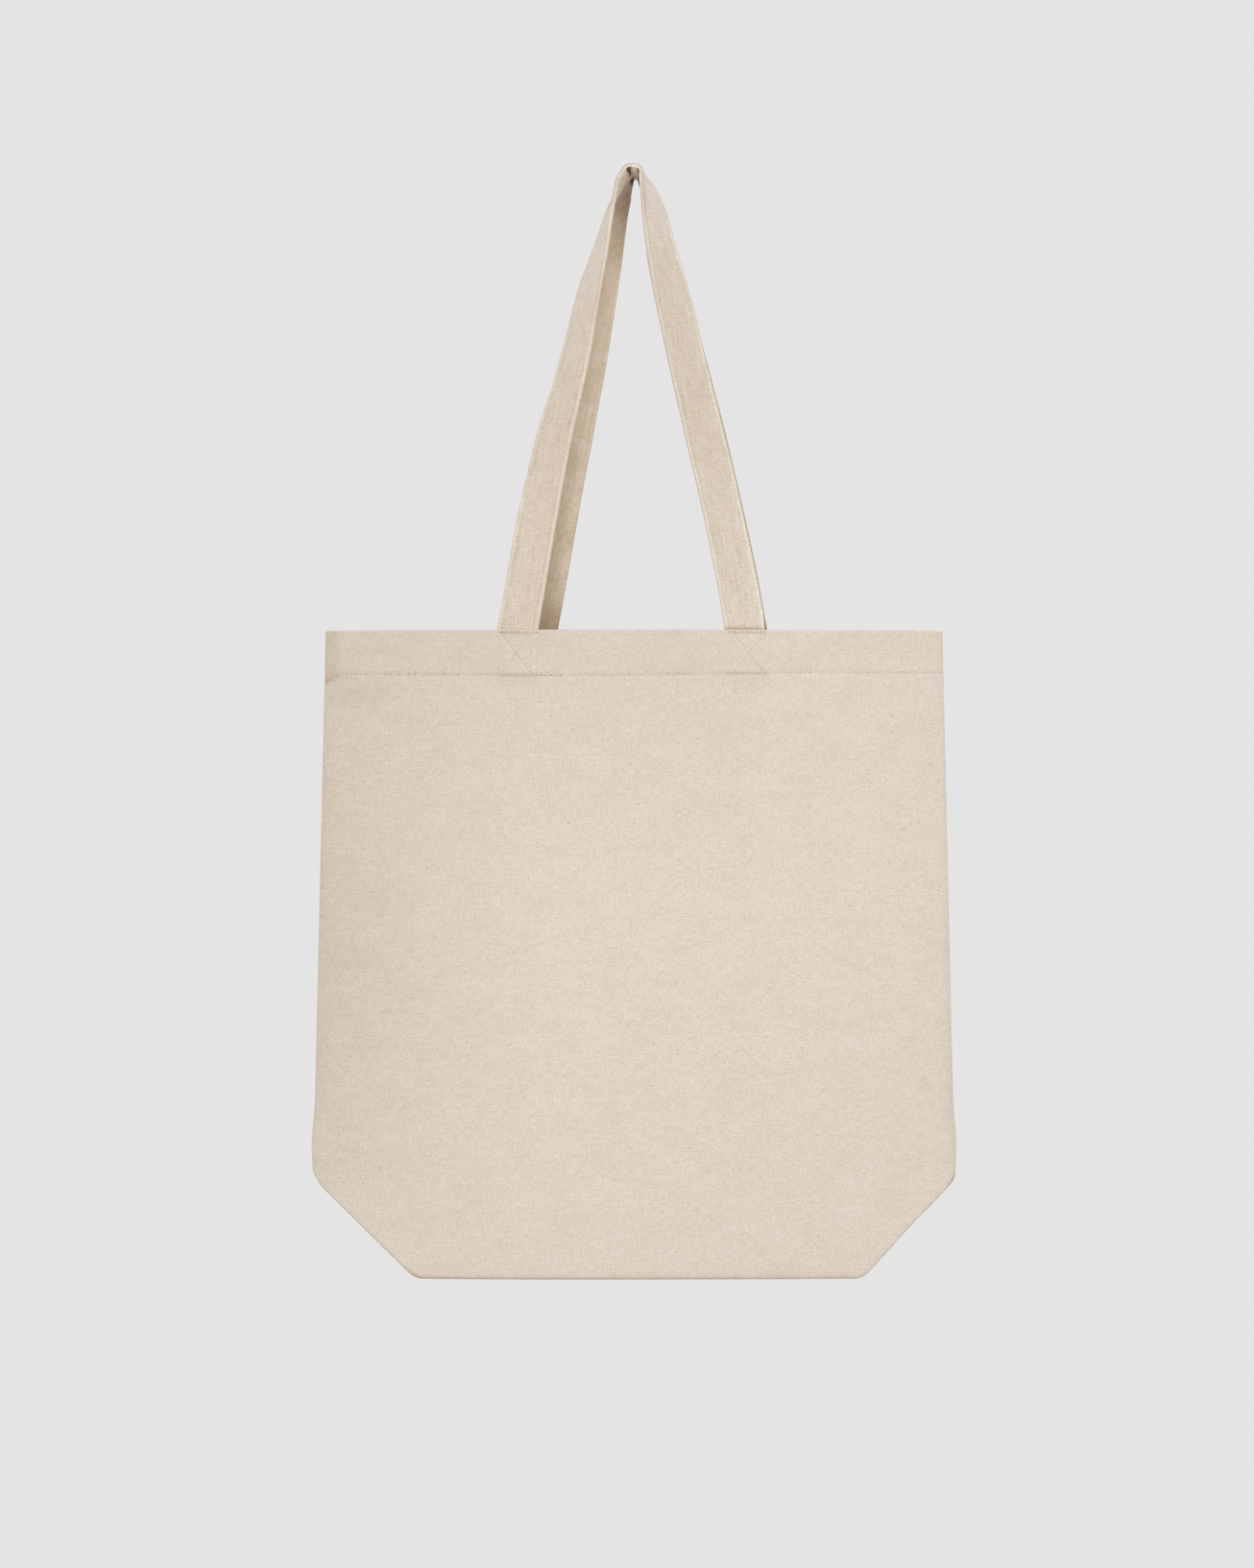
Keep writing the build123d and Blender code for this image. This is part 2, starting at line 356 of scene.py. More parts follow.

# %% [markdown]
# ## The sewing thread
# The bag is sewn with plain cotton thread a shade paler than the cloth. Stitches could be painted on the
# cloth, but then they would vanish from the side, so each one is a grain of thread a few millimetres long
# with twisted plies, and its material is a fine ripple. Where the needle went in, the cloth is pulled into
# a small pit that stays in the shade; a flat disc of darker thread colour there is painted shade.

# %% Thread material
def cotton_thread(name, colour):
    material, tree, shader = new_material(name)
    place = tree.nodes.new("ShaderNodeTexCoord")
    ply = tree.nodes.new("ShaderNodeTexNoise")
    ply.inputs["Scale"].default_value = 2600
    tree.links.new(place.outputs["Object"], ply.inputs["Vector"])
    shade = range_node(tree, ply.outputs["Fac"], 0.3, 0.7, 0.88, 1.08)
    tree.links.new(vector(tree, "MULTIPLY", colour, shade), shader.inputs["Base Color"])
    tree.links.new(bump_node(tree, ply.outputs["Fac"], 0.08 * MM, 1.0), shader.inputs["Normal"])
    shader.inputs["Roughness"].default_value = 0.75
    shader.inputs["Sheen Weight"].default_value = 0.1
    return material


sewing_thread = cotton_thread("sewing_thread", (0.76, 0.68, 0.59))
# Painted shade of the needle's pits.
pit_shade = cotton_thread("pit_shade", (0.44, 0.35, 0.26))
print("thread", sewing_thread.name, pit_shade.name)

# %% [markdown]
# ## Making cloth
# Every sheet here is a grid of points. A cloth simulation could drape one, but its folds fall where they
# like; with points set by code they lie where the real bag has them. One helper turns rows of points into a
# mesh with a UV map in metres and the amounts of painted light and shade, of tone and of warmth at each
# point, and another gives it the thickness of canvas with Solidify. The last makes smooth random swells out
# of a few waves: real cloth is never flat, and a fixed seed gives the same cloth each time.

# %% Cloth helpers
def link(mesh, name, material, smooth_angle=38):
    piece = bpy.data.objects.new(name, mesh)
    scene.collection.objects.link(piece)
    mesh.materials.append(material)
    mesh.shade_smooth()
    mesh.set_sharp_from_angle(angle=math.radians(smooth_angle))
    return piece


def grid_faces(rows, columns, ring=False):
    index = np.arange(rows * columns).reshape(rows, columns)
    if ring:
        index = np.concatenate([index, index[:, :1]], axis=1)
    quads = np.stack([index[:-1, :-1], index[:-1, 1:], index[1:, 1:], index[1:, :-1]], axis=-1)
    return quads.reshape(-1, 4)


def cloth_mesh(name, points, uv, faces, shade_and_tone=0.0, warm=0.0):
    mesh = bpy.data.meshes.new(name)
    mesh.from_pydata(points.reshape(-1, 3).tolist(), [], faces.tolist())
    for kind, amount in (("shade_and_tone", shade_and_tone), ("warm", warm)):
        amount = np.broadcast_to(amount, points.shape[:-1]).astype(np.float32)
        mesh.attributes.new(kind, "FLOAT", "POINT").data.foreach_set("value", amount.ravel())
    layer = mesh.uv_layers.new(name="cloth")
    corners = np.zeros(len(mesh.loops), np.int32)
    mesh.loops.foreach_get("vertex_index", corners)
    layer.data.foreach_set("uv", uv.reshape(-1, 2)[corners].astype(np.float32).ravel())
    return mesh


def thicken(mesh, thickness, name):
    """Gives a sheet its thickness with Solidify, half to each side, and keeps the result as the mesh."""
    sheet = bpy.data.objects.new(name + "_sheet", mesh)
    scene.collection.objects.link(sheet)
    solid = sheet.modifiers.new("thickness", "SOLIDIFY")
    solid.thickness = thickness
    solid.offset = 0
    depsgraph = bpy.context.evaluated_depsgraph_get()
    thick = bpy.data.meshes.new_from_object(sheet.evaluated_get(depsgraph))
    bpy.data.objects.remove(sheet)
    thick.name = name
    return thick


def make_sheet(name, points, uv, material, thickness=CLOTH, shade_and_tone=0.0, warm=0.0):
    mesh = cloth_mesh(name, points, uv, grid_faces(*points.shape[:2]), shade_and_tone, warm)
    return link(thicken(mesh, thickness, name), name, material)


print("a grid of 3 by 4 points has", len(grid_faces(3, 4)), "faces")

# %% Swells
WAVES = 16


def swell(seed, a, b, length_a, length_b):
    """A smooth random swell of about one, with waves near the two given lengths."""
    rng = np.random.default_rng(seed)
    total = np.zeros(np.broadcast(a, b).shape)
    for _ in range(WAVES):
        turns = rng.normal(0, 0.7, 2)
        wave = 2 * np.pi * (turns[0] * a / length_a + turns[1] * b / length_b)
        total = total + np.sin(wave + rng.uniform(0, 2 * np.pi))
    return total / math.sqrt(WAVES)


print("waves in a swell", WAVES)

# %% [markdown]
# ## How the walls lie
# Each wall bows out between its side seams. On top of that come the small things that make it cloth: broad
# soft hollows, a slight rumple, the groove that the hem's stitching pulls in, puckers along the seams, a
# small dip under each sewn-on handle end and the creases of its crossed box. They could be sculpted by
# hand, but as a formula they can be asked for at any place, so the thread and the painted shade follow the
# same creases.

# %% Hem row and crossed boxes
HEM_ROW = 373.0 * MM
ROW_HALF = 12.1 * MM
BOX_HALF = 9.7 * MM
BOX_OUT = 1.4 * MM
BOX_TOP = PANEL_HEIGHT - 1.4 * MM
SEAM_CREASE = 0.8 * MM
HANDLE_ENDS = {
    (FRONT, LEFT): -71.8 * MM,
    (FRONT, RIGHT): 68.3 * MM,
    (BACK, LEFT): -60.3 * MM,
    (BACK, RIGHT): 70.5 * MM,
}


def row_height(x):
    """Height of the hem's stitching, which dips a little left of the middle and rises on the right."""
    dip = 1.0 * MM * bell(x, -45 * MM, 65 * MM)
    return HEM_ROW - dip + 0.75 * MM * ease((x - 55 * MM) / (40 * MM))


def corner_crease(x, h):
    """The small crease below the left end of the hem, as a share of one."""
    from_left = half_width(h) + x
    return bell(h - 369 * MM - 0.3 * from_left, 0, 2.2 * MM) * bell(from_left, 0, 8 * MM)


def by_handle(side, hand, x):
    """One across a sewn-on handle end, nothing away from it."""
    return np.exp(-(((x - HANDLE_ENDS[side, hand]) / (13 * MM)) ** 4))


def box_crease(side, x, h, shift=0.0):
    """How deep the boxes' crossing seams crease the cloth, and the same for their level rows."""
    cross, rows = 0, 0
    # The numbers say how strongly the falling seam, the rising seam and the top row crease each box.
    for hand, falling, rising, top in ((LEFT, 1.5, 0.45, 1.8), (RIGHT, 1.25, 1.05, 1.2)):
        low = row_height(HANDLE_ENDS[side, hand])
        level_a = x - HANDLE_ENDS[side, hand] - shift
        a = level_a - hand * BOX_OUT
        b = h - (low + BOX_TOP) / 2
        slope = (BOX_TOP - low) / (2 * BOX_HALF)
        inside = ease((BOX_HALF - np.abs(a)) / MM + 1) * ease((BOX_TOP - h) / MM + 1) * (h > low)
        crossing = falling * bell(b + slope * a, 0, SEAM_CREASE)
        crossing = crossing + rising * bell(b - slope * a, 0, SEAM_CREASE)
        cross = cross + inside * crossing
        level = top * bell(h - BOX_TOP, -0.4 * MM, SEAM_CREASE) + 1.25 * bell(h, low, SEAM_CREASE)
        rows = rows + level * ease((ROW_HALF - np.abs(level_a)) / MM + 1)
    return cross, rows


print("hem row at the middle", round(float(row_height(0.0)) / MM, 1), "mm up")

# %% The shape of a wall
EDGE = 1.9 * MM


def ripples(side, x, h):
    """How far the cloth stands proud of its plain bow, in metres."""
    seed = 10 if side == FRONT else 40
    edge = half_width(h) - np.abs(x)
    free = ease(edge / (45 * MM))
    from_row = h - row_height(x)
    below_hem = ease(-from_row / (60 * MM))
    broad = 0.75 * MM * swell(seed, x, h, 170 * MM, 260 * MM) * free * (0.35 + 0.65 * below_hem)
    rumple = 0.16 * MM * swell(seed + 1, x, h, 46 * MM, 52 * MM) * (0.4 + 0.6 * below_hem)
    fine = 0.05 * MM * swell(seed + 2, x, h, 15 * MM, 17 * MM)
    groove = -0.34 * MM * bell(from_row, 0, 1.3 * MM)
    roll = 0.16 * MM * bell(from_row, 3.2 * MM, 2.2 * MM)
    near_row = np.exp(-np.abs(from_row + 2 * MM) / (6 * MM))
    hem_pucker = 0.12 * MM * swell(seed + 3, x, 0 * h, 9 * MM, 1) * near_row
    side_pucker = 0.13 * MM * swell(seed + 4, 0 * x, h, 1, 13 * MM) * np.exp(-edge / (7 * MM))
    total = broad + rumple + fine + groove + roll + hem_pucker + side_pucker - 0.9 * MM * corner_crease(x, h)
    cross, rows = box_crease(side, x, h)
    total = total - 0.15 * MM * (cross + rows)
    for hand in (LEFT, RIGHT):
        near = by_handle(side, hand, x)
        box = near * ease(from_row / (2 * MM) + 1)
        dip = near * bell(from_row, -5.5 * MM, 3.2 * MM)
        total = total + 0.25 * MM * box - 0.45 * MM * dip
    return total


def wall_face(side, x, h):
    """Distance of a wall's outer face from the middle plane."""
    return EDGE + bow(h) * (1 - np.clip(x / half_width(h), -1, 1) ** 2) + ripples(side, x, h)


def rounded_side(x, h, y):
    """Turns the edge of a wall in towards the side seam, over a wider strip on the left."""
    reach = np.where(x < 0, 7 * MM, 3 * MM)
    q = np.clip((np.abs(x) - (half_width(h) - reach)) / reach, 0, 1)
    inner = 0.5 * CLOTH
    return np.maximum(inner, inner + (y - inner) * np.sqrt(1 - 0.98 * q**2))


print("front wall stands out", round(float(wall_face(FRONT, np.array(0.0), np.array(0.2))) / MM, 1), "mm")

# %% [markdown]
# ## Painted shade on the walls
# The bag's left margin, the left end of its hem, its folds and creases are darker than soft, even lamps make
# them, so shade is painted there, with a little painted light. That could be painted as a picture, but a
# number at each point is enough, because this shade has no sharp edges. Zero is plain cloth, one is plainly
# darker, and less than zero is paler.

# %% Painted shade of a wall
def side_painted_shade(x, h):
    """Painted shade along both sides and towards the hem, and painted light near the folded left corner."""
    from_left, from_right = half_width(h) + x, half_width(h) - x
    fold = h - crease_height(x)
    upper = 0.40 * ease((h - 200 * MM) / (210 * MM))
    left = 0.94 * np.clip(1 - from_left / (155 * MM), 0, 1) ** 1.4
    left = left * (0.5 + 0.5 * ease(h / (200 * MM))) * (1 - 0.7 * upper)
    folded = ease((-x - 130 * MM) / (15 * MM)) * (1 - 0.9 * ease((-x - 178 * MM) / (14 * MM)))
    left = left - 0.25 * folded * np.exp(-fold / (18 * MM))
    left = left + (0.12 + 0.25 * ease((h - 230 * MM) / (80 * MM))) * np.exp(-from_left / (3 * MM))
    right = 0.25 * np.exp(-from_right / (12 * MM)) * bell(h, 105 * MM, 40 * MM)
    right = right + (0.1 + 0.2 * ease((300 * MM - h) / (100 * MM))) * np.exp(-from_right / (5 * MM))
    upper = upper * (1 - 0.6 * ease((x - 20 * MM) / (90 * MM)))
    return left + right + upper * (1 - left)


def fold_painted_shade(x, h):
    """Painted shade along the bottom fold, less on the folded corners."""
    fold = h - crease_height(x)
    level = 1 - 0.72 * ease((np.abs(x) - 130 * MM) / (15 * MM)) + 1.2 * bell(half_width(h) - x, 0, 4 * MM)
    dull = ease((x - 50 * MM) / (40 * MM)) * ease((140 * MM - x) / (15 * MM))
    bottom = level * (0.4 * np.exp(-fold / (3 * MM)) + (1.8 - 0.7 * dull) * ease(1.3 - fold / (1.5 * MM)))
    return bottom + 0.38 * dull * np.exp(-fold / (7 * MM))


def hem_shade_and_tone(side, x, h):
    """Darker hem band, painted shade of its row, left end, crease and boxes and below the handle ends; paler
    top edge.
    """
    from_left = half_width(h) + x
    over_row = h - HEM_ROW
    # The hem band is a shade darker; the rest is painted shade in the stitched groove, at the hem's left end,
    # in its crease, below it and below each handle end.
    total = 0.1 * ease(over_row / (3 * MM))
    total = total + (0.45 - 0.2 * ease((x - 50 * MM) / (60 * MM))) * bell(h, row_height(x), 1.1 * MM)
    total = total + 0.4 * ease((10 * MM - from_left) / (4 * MM)) * ease(over_row / (2 * MM))
    total = total + 1.6 * corner_crease(x, h)
    total = total + 0.35 * bell(from_left, 20 * MM, 15 * MM) * bell(over_row, -11 * MM, 8 * MM)
    for hand in (LEFT, RIGHT):
        total = total + 0.3 * by_handle(side, hand, x) * bell(over_row, -6 * MM, 5 * MM)
    # The top edge is painted paler.
    paler_top_edge = 0.7 * ease((h - PANEL_HEIGHT + 1.1 * MM) / (0.5 * MM))
    # Painted shade on one side of each box seam, a painted highlight on the other, and painted shade along
    # the rows.
    shaded, rows = box_crease(side, x, h, 0.6 * MM)
    painted_highlight, _ = box_crease(side, x, h, -0.6 * MM)
    return total - paler_top_edge + 0.6 * shaded - 0.45 * painted_highlight + 1.1 * rows


def wall_shade_and_tone(side, x, h):
    return side_painted_shade(x, h) + fold_painted_shade(x, h) + hem_shade_and_tone(side, x, h)


print("soil in the middle of the front", round(float(wall_shade_and_tone(FRONT, np.array(0.0), np.array(0.2))), 2))

# %% [markdown]
# ## The walls
# A wall is one sheet: it starts just inside the mouth, turns over the top edge, runs down the outside, and
# turns under at the bottom crease and the folded corners. It could be a flat plane that modifiers bend, but
# the two turned edges would be hard to keep clean. Here each column of the grid follows that path, so the
# rows bend along the corners by themselves.

# %% Columns of a wall
HEM_HALF_MM = 190.6
inner_columns = np.linspace(-0.985, 0.985, 159)
# The columns stand closer together at the handle ends, where the crossed boxes crease the cloth.
for start, end in ((-86, -46), (54, 85)):
    fine = np.arange(start, end, 0.7) / HEM_HALF_MM
    kept = inner_columns[(inner_columns < fine[0] - 0.002) | (inner_columns > fine[-1] + 0.002)]
    inner_columns = np.sort(np.concatenate([kept, fine]))
edge_columns = 1 - np.array([0.0, 0.0012, 0.0032, 0.006, 0.0095])
COLUMNS = np.concatenate([-edge_columns, inner_columns, edge_columns[::-1]])
print("columns", len(COLUMNS))

# %% Rows of a wall
CREST = 0.9 * MM
FOLD = 0.85 * MM
INSIDE_ROWS = 5
HEM_DROPS = np.concatenate([np.linspace(2.0, 23, 33), np.linspace(23.5, 29, 14), np.linspace(30, 40, 8)]) * MM
WALL_SHARES = np.concatenate([np.linspace(0, 0.965, 92)[1:], np.linspace(0.965, 1, 9)[1:]])


def row_grids(rows, columns):
    """Heights and depths of a sheet's rows, as two grids with a place for each point."""
    return [np.array([np.broadcast_to(row[i], columns.shape) for row in rows]) for i in (0, 1)]


def wall_path(side):
    """Points of a wall and their cloth coordinates, row by row from inside the mouth to under the crease."""
    top = PANEL_HEIGHT - 0.5 * CLOTH
    foot = crease_height(COLUMNS * CORNER_HALF) + 0.5 * CLOTH + FOLD
    mouth_x = COLUMNS * half_width(PANEL_HEIGHT)
    edge_gap = wall_face(side, mouth_x, np.full_like(mouth_x, PANEL_HEIGHT)) - 1.4 * MM
    crest = np.clip(edge_gap / 2, 0.2 * MM, CREST)
    rows = [(top - crest - 1.6 * MM, 0.5 * CLOTH + 2 * crest)]
    for angle in np.linspace(math.pi, 0, 9):
        rows.append((top - crest + crest * math.sin(angle), 0.5 * CLOTH + crest - crest * math.cos(angle)))
    rows += [(top - drop, 0.5 * CLOTH) for drop in HEM_DROPS]
    start = top - HEM_DROPS[-1]
    rows += [(start + (foot - start) * share, 0.5 * CLOTH) for share in WALL_SHARES]
    for angle in np.linspace(0, math.pi, 9)[1:]:
        rows.append((foot - FOLD * math.sin(angle), 0.5 * CLOTH + FOLD * (1 - math.cos(angle))))
    heights, depths = row_grids(rows, COLUMNS)
    x = COLUMNS * half_width(heights)
    y = rounded_side(x, heights, wall_face(side, x, heights) - depths)
    points = np.stack([x, side * y, BASE_Z + heights], axis=-1)
    turned_in = np.where(np.arange(len(rows))[:, None] < INSIDE_ROWS, 2 * (PANEL_HEIGHT - heights), 0)
    uv = np.stack([x + 0.5, heights + turned_in + 1.0 + 2.0 * (side == BACK)], axis=-1)
    return points, uv, wall_shade_and_tone(side, x, heights)


def make_wall(side, name):
    points, uv, shade_and_tone = wall_path(side)
    warm = 0.12 * ease((points[:, :, 2] - BASE_Z - HEM_ROW) / (3 * MM))
    return make_sheet(name, points, uv, body_canvas, CLOTH, shade_and_tone, warm), points


front_wall, front_points = make_wall(FRONT, "front_wall_canvas")
back_wall, back_points = make_wall(BACK, "back_wall_canvas")
print("wall", len(front_wall.data.polygons), "faces")

# %% [markdown]
# ## The tucked base
# A boxed base folds up between the walls when the bag is pressed flat. Hidden cloth could be left out, but
# a look into the mouth shows it. Each half starts where the wall turned under and leans in to the ridge,
# where the two halves are sewn together.

# %% Base halves
TUCK = 60 * MM
RIDGE_HALF = 196 * MM


def make_base(side, name, wall_points):
    start = wall_points[-1]
    low = start[:, 2] - BASE_Z
    ridge = np.maximum(TUCK, low + 3.5 * MM)
    shares = np.linspace(0, 1, 22)[:, None]
    heights = low + (ridge - low) * shares
    x = start[:, 0] + (np.clip(start[:, 0], -RIDGE_HALF, RIDGE_HALF) - start[:, 0]) * shares
    near = np.abs(start[:, 1])
    lean = near + (0.55 * CLOTH - near) * shares**0.94
    slack = 0.5 * MM * swell(70 + side, x, heights, 90 * MM, 70 * MM) * np.sin(np.pi * shares)
    slack = slack * ease((near - 3 * MM) / (5 * MM))
    points = np.stack([x, side * np.maximum(lean + slack, 0.5 * CLOTH), BASE_Z + heights], axis=-1)
    uv = np.stack([x + 0.5, heights + 0.1 * side + 4.0], axis=-1)
    return make_sheet(name, points, uv, body_canvas)


front_base = make_base(FRONT, "front_base_canvas", front_points)
back_base = make_base(BACK, "back_base_canvas", back_points)
print("base half", len(front_base.data.polygons), "faces")

# %% [markdown]
# ## The hem
# The mouth is turned in twice. A thicker band could stand for it, but its lower edge would look cut. So the
# part that shows inside hangs from the turned-over edge, and at its foot it folds back up between the
# layers, which makes the soft lower edge that the stitching holds.

# %% Hems
HEM_FOOT = 371.6 * MM
HEM_TURN = 0.42 * MM
HEM_SHARE = 0.945


def make_hem(side, name, wall_points):
    keep = np.abs(COLUMNS) < HEM_SHARE
    u = COLUMNS[keep]
    start = wall_points[0][keep]
    depth = 0.5 * CLOTH + 2 * CREST
    top = start[:, 2] - BASE_Z
    foot = HEM_FOOT + 0.15 * MM * swell(31 + side, u * 190 * MM, 0 * u, 30 * MM, 1)
    rows = [(top + (foot - top) * share, depth) for share in np.linspace(0, 1, 19)]
    for angle in np.linspace(0, math.pi, 6)[1:]:
        rows.append((foot - HEM_TURN * math.sin(angle), depth - HEM_TURN * (1 - math.cos(angle))))
    rows.append((foot + 20 * MM, depth - 2 * HEM_TURN))
    heights, depths = row_grids(rows, u)
    x = u * half_width(heights)
    y = wall_face(side, x, heights) - depths
    y[0] = np.abs(start[:, 1])
    points = np.stack([x, side * y, BASE_Z + heights], axis=-1)
    uv = np.stack([x + 0.5, heights + 6.0 + side], axis=-1)
    return make_sheet(name, points, uv, hem_canvas, CLOTH * 0.9)


front_hem = make_hem(FRONT, "front_hem_canvas", front_points)
back_hem = make_hem(BACK, "back_hem_canvas", back_points)
print("hem", len(front_hem.data.polygons), "faces")

# %% [markdown]
# ## Straps
# A handle is a strip of canvas folded into four and sewn down both edges. Its section is a flat pad with
# rounded edges and a groove under each row of stitches. A curve with a bevel could sweep it, but its twist
# is hard to steer. Here the section is carried by code along a path that rises from the hem, turns edge-on
# at the top and comes down the other side, so each height has the turn that the hanging handle has there.

# %% The legs of the handles
STRAP_WIDTH = 25 * MM
STRAP_THICK = 2.6 * MM
TAIL_FOOT = MOUTH_Z - 27 * MM
TAIL_TURN = 86
TOP_DEPTH_MM = 12.8

# Height, sideways place and turn (0 is edge-on, 90 is face-on) down each leg, in mm and degrees.
LEG_POINTS = {
    (FRONT, LEFT): [
        (-6, -8.9, -9), (-16, -12.2, 1), (-29, -16.4, 11), (-46, -20.3, 20), (-70, -27.0, 34),
        (-88, -30.9, 38), (-106, -34.6, 44.5), (-129, -40.0, 49), (-159, -48.4, 61), (-188, -54.7, 69),
        (-218, -60.7, 80), (-272, -69.9, 86),
    ],
    (FRONT, RIGHT): [
        (-7, 8.0, 18), (-23, 12.4, 36), (-47, 17.0, 47), (-70, 22.3, 60), (-88, 26.7, 66),
        (-106, 30.3, 66), (-129, 35.9, 68), (-159, 43.0, 76), (-188, 50.0, 75), (-218, 56.6, 78),
        (-248, 62.8, 83), (-272, 67.2, 88),
    ],
    (BACK, LEFT): [
        (-9, -6.6, 22), (-23, -11.0, 30), (-47, -16.3, 46), (-70, -21.0, 58), (-106, -27.5, 68),
        (-129, -32.0, 73), (-159, -37.7, 78), (-189, -43.7, 83), (-248, -54.1, 86), (-272, -58.6, 87),
    ],
    (BACK, RIGHT): [
        (-9, 6.1, -3), (-23, 10.9, 16), (-47, 16.0, 38), (-90, 27.7, 59), (-130, 37.2, 72),
        (-159, 44.6, 80), (-189, 51.5, 81), (-218, 58.1, 83), (-248, 64.5, 86), (-272, 68.7, 86),
    ],
}


def strap_root_y(side, x, h):
    """Depth of a strap's middle where it is sewn to the inside of the hem."""
    inside = wall_face(side, np.array(x), np.array(h)) - 0.5 * CLOTH - 2 * CREST - 0.5 * CLOTH
    return side * (inside - STRAP_THICK / 2)


def leg_rows(side, hand):
    """Height, sideways place, turn and depth along one leg, in mm and degrees, from its sewn end upwards."""
    x_end = HANDLE_ENDS[side, hand] / MM
    top_y = side * TOP_DEPTH_MM
    root_y = float(strap_root_y(side, HANDLE_ENDS[side, hand], PANEL_HEIGHT)) / MM
    tail = [(TAIL_FOOT / MM, x_end, TAIL_TURN), (MOUTH_Z / MM - 1, x_end, TAIL_TURN)]
    rows = []
    for z, x, turn in tail + LEG_POINTS[side, hand][::-1]:
        y = root_y + (top_y - root_y) * np.clip((z - MOUTH_Z / MM) / 250, 0, 1)
        rows.append((z, x, hand * turn, y))
    return rows


print("points of the front left leg", len(leg_rows(FRONT, LEFT)))

# %% The path of a handle
# Reach, rise, sag and sideways shift of the bend at the top in mm, and how far it is turned in degrees.
BENDS = {FRONT: (4.8, 4.0, 0.3, 0.1, 5.3), BACK: (2.7, 3.3, 0.6, 1.2, 0)}
LEAN_LEFT, LEAN_RIGHT = math.radians(17), math.radians(22)
BEND_POINTS = 33


def run_length(points):
    """Length along a line of points, from its start to each point."""
    steps = np.linalg.norm(np.diff(points, axis=0), axis=1)
    return np.concatenate([[0], np.cumsum(steps)])


def smooth(values, width):
    """Rounds the corners of a run of values with a moving average; the ends stay where they are."""
    half = width // 2
    before = 2 * values[:1] - values[half:0:-1]
    after = 2 * values[-1:] - values[-2:-half - 2:-1]
    kernel = np.hanning(width + 2)[1:-1]
    return np.convolve(np.concatenate([before, values, after]), kernel / kernel.sum(), mode="valid")


def bend_rows(side):
    """The rounded bend between the two legs, in the same columns as a leg."""
    reach, rise, sag, shift, skew = BENDS[side]
    rows = []
    for angle in np.linspace(math.pi - LEAN_LEFT, LEAN_RIGHT, BEND_POINTS):
        x = shift + reach * math.copysign(abs(math.cos(angle)) ** 0.85, math.cos(angle))
        z = rise * math.sin(angle) ** 0.85 - sag
        rows.append((z, x, skew * (1 - 0.65 * math.cos(angle)), side * TOP_DEPTH_MM))
    return rows


def handle_path(side):
    """Middle line of a handle from one sewn end to the other, with the direction of its inner edge."""
    left, right = leg_rows(side, LEFT), leg_rows(side, RIGHT)
    rows = np.array(left + bend_rows(side) + right[::-1])
    length = run_length(rows[:, :2])
    middle = length[len(left) + BEND_POINTS // 2]
    at = np.linspace(0, length[-1], int(length[-1] / 0.5) + 1)
    # The legs are smoothed widely, the bend and the sewn ends hardly at all.
    weight = ease((np.abs(at - middle) - 7) / 20)
    weight = weight * ease((np.interp(at, length, rows[:, 0]) - MOUTH_Z / MM - 4) / 30)
    lines = []
    for column in rows.T:
        fine = np.interp(at, length, column)
        near = smooth(fine, 5)
        soft = smooth(smooth(fine, 41), 41)
        lines.append(near + (soft - near) * weight)
    z, x, turn, y = lines
    turn = np.radians(turn)
    points = np.stack([x, y, z], axis=-1) * MM
    inner = np.stack([-np.sin(turn), side * np.cos(turn), 0 * turn], axis=-1)
    return points, inner, at * MM


def strap_frames(side):
    """Middle line, unit vectors across it and out of its outer face, and the length along it."""
    points, inner, at = handle_path(side)
    along = np.gradient(points, axis=0)
    along /= np.linalg.norm(along, axis=1, keepdims=True)
    across = inner - along * (inner * along).sum(1, keepdims=True)
    across /= np.linalg.norm(across, axis=1, keepdims=True)
    out = -side * np.cross(across, along)
    return points, across, out, at


frames = {side: strap_frames(side) for side, _ in SIDES}
for side, word in SIDES:
    print(word, "handle is", round(frames[side][3][-1] / MM), "mm long")

# %% The section of a strap
STITCH_IN = 9.7 * MM
ROUNDED = 1.1 * MM


def strap_half(a):
    """Half the strap's thickness at a distance from its middle: rounded edges and two stitched grooves."""
    edge = np.clip((np.abs(a) - (STRAP_WIDTH / 2 - ROUNDED)) / ROUNDED, 0, 1)
    pad = STRAP_THICK / 2 * np.sqrt(1 - 0.97 * edge**2.2)
    groove = 0.30 * MM * bell(np.abs(a), STITCH_IN, 0.6 * MM)
    return pad - groove - 0.06 * MM * np.cos(np.pi * a / STRAP_WIDTH) ** 2


edge_steps = [12.5, 12.44, 12.3, 12.0, 11.5, 11.0, 10.6, 10.3, 10.0, 9.7, 9.4, 9.0]
half_steps = np.array(edge_steps + [8.0, 6.0, 3.5, 1.0]) * MM
face_steps = np.concatenate([half_steps, -half_steps[::-1]])
section_a = np.concatenate([face_steps, face_steps[::-1]])
section_b = np.concatenate([strap_half(face_steps), -strap_half(face_steps)])
section_run = run_length(np.stack([section_a, section_b], axis=-1))
inner_face = section_b < 0
print("strap section", len(section_a), "points")

# %% [markdown]
# ## Painted light and shade on the straps
# The handles get light and shade that the lamps alone don't give: painted shade in the creases of the bends
# at the top and on the back handle's inner face, which is also painted warmer with bounced light, a painted
# shadow of the front handle on the back one, painted light near the tops of the legs, and edges paler low
# down and darker high up. As on the walls it is a number at each point. The tables give it at a few
# heights, and the values between are blended.

# %% Painted light and shade of a strap
# Painted shade in the stitched grooves of a strap.
STRAP_ROW_SHADE = 0.38 * bell(np.abs(section_a), STITCH_IN, 0.6 * MM)


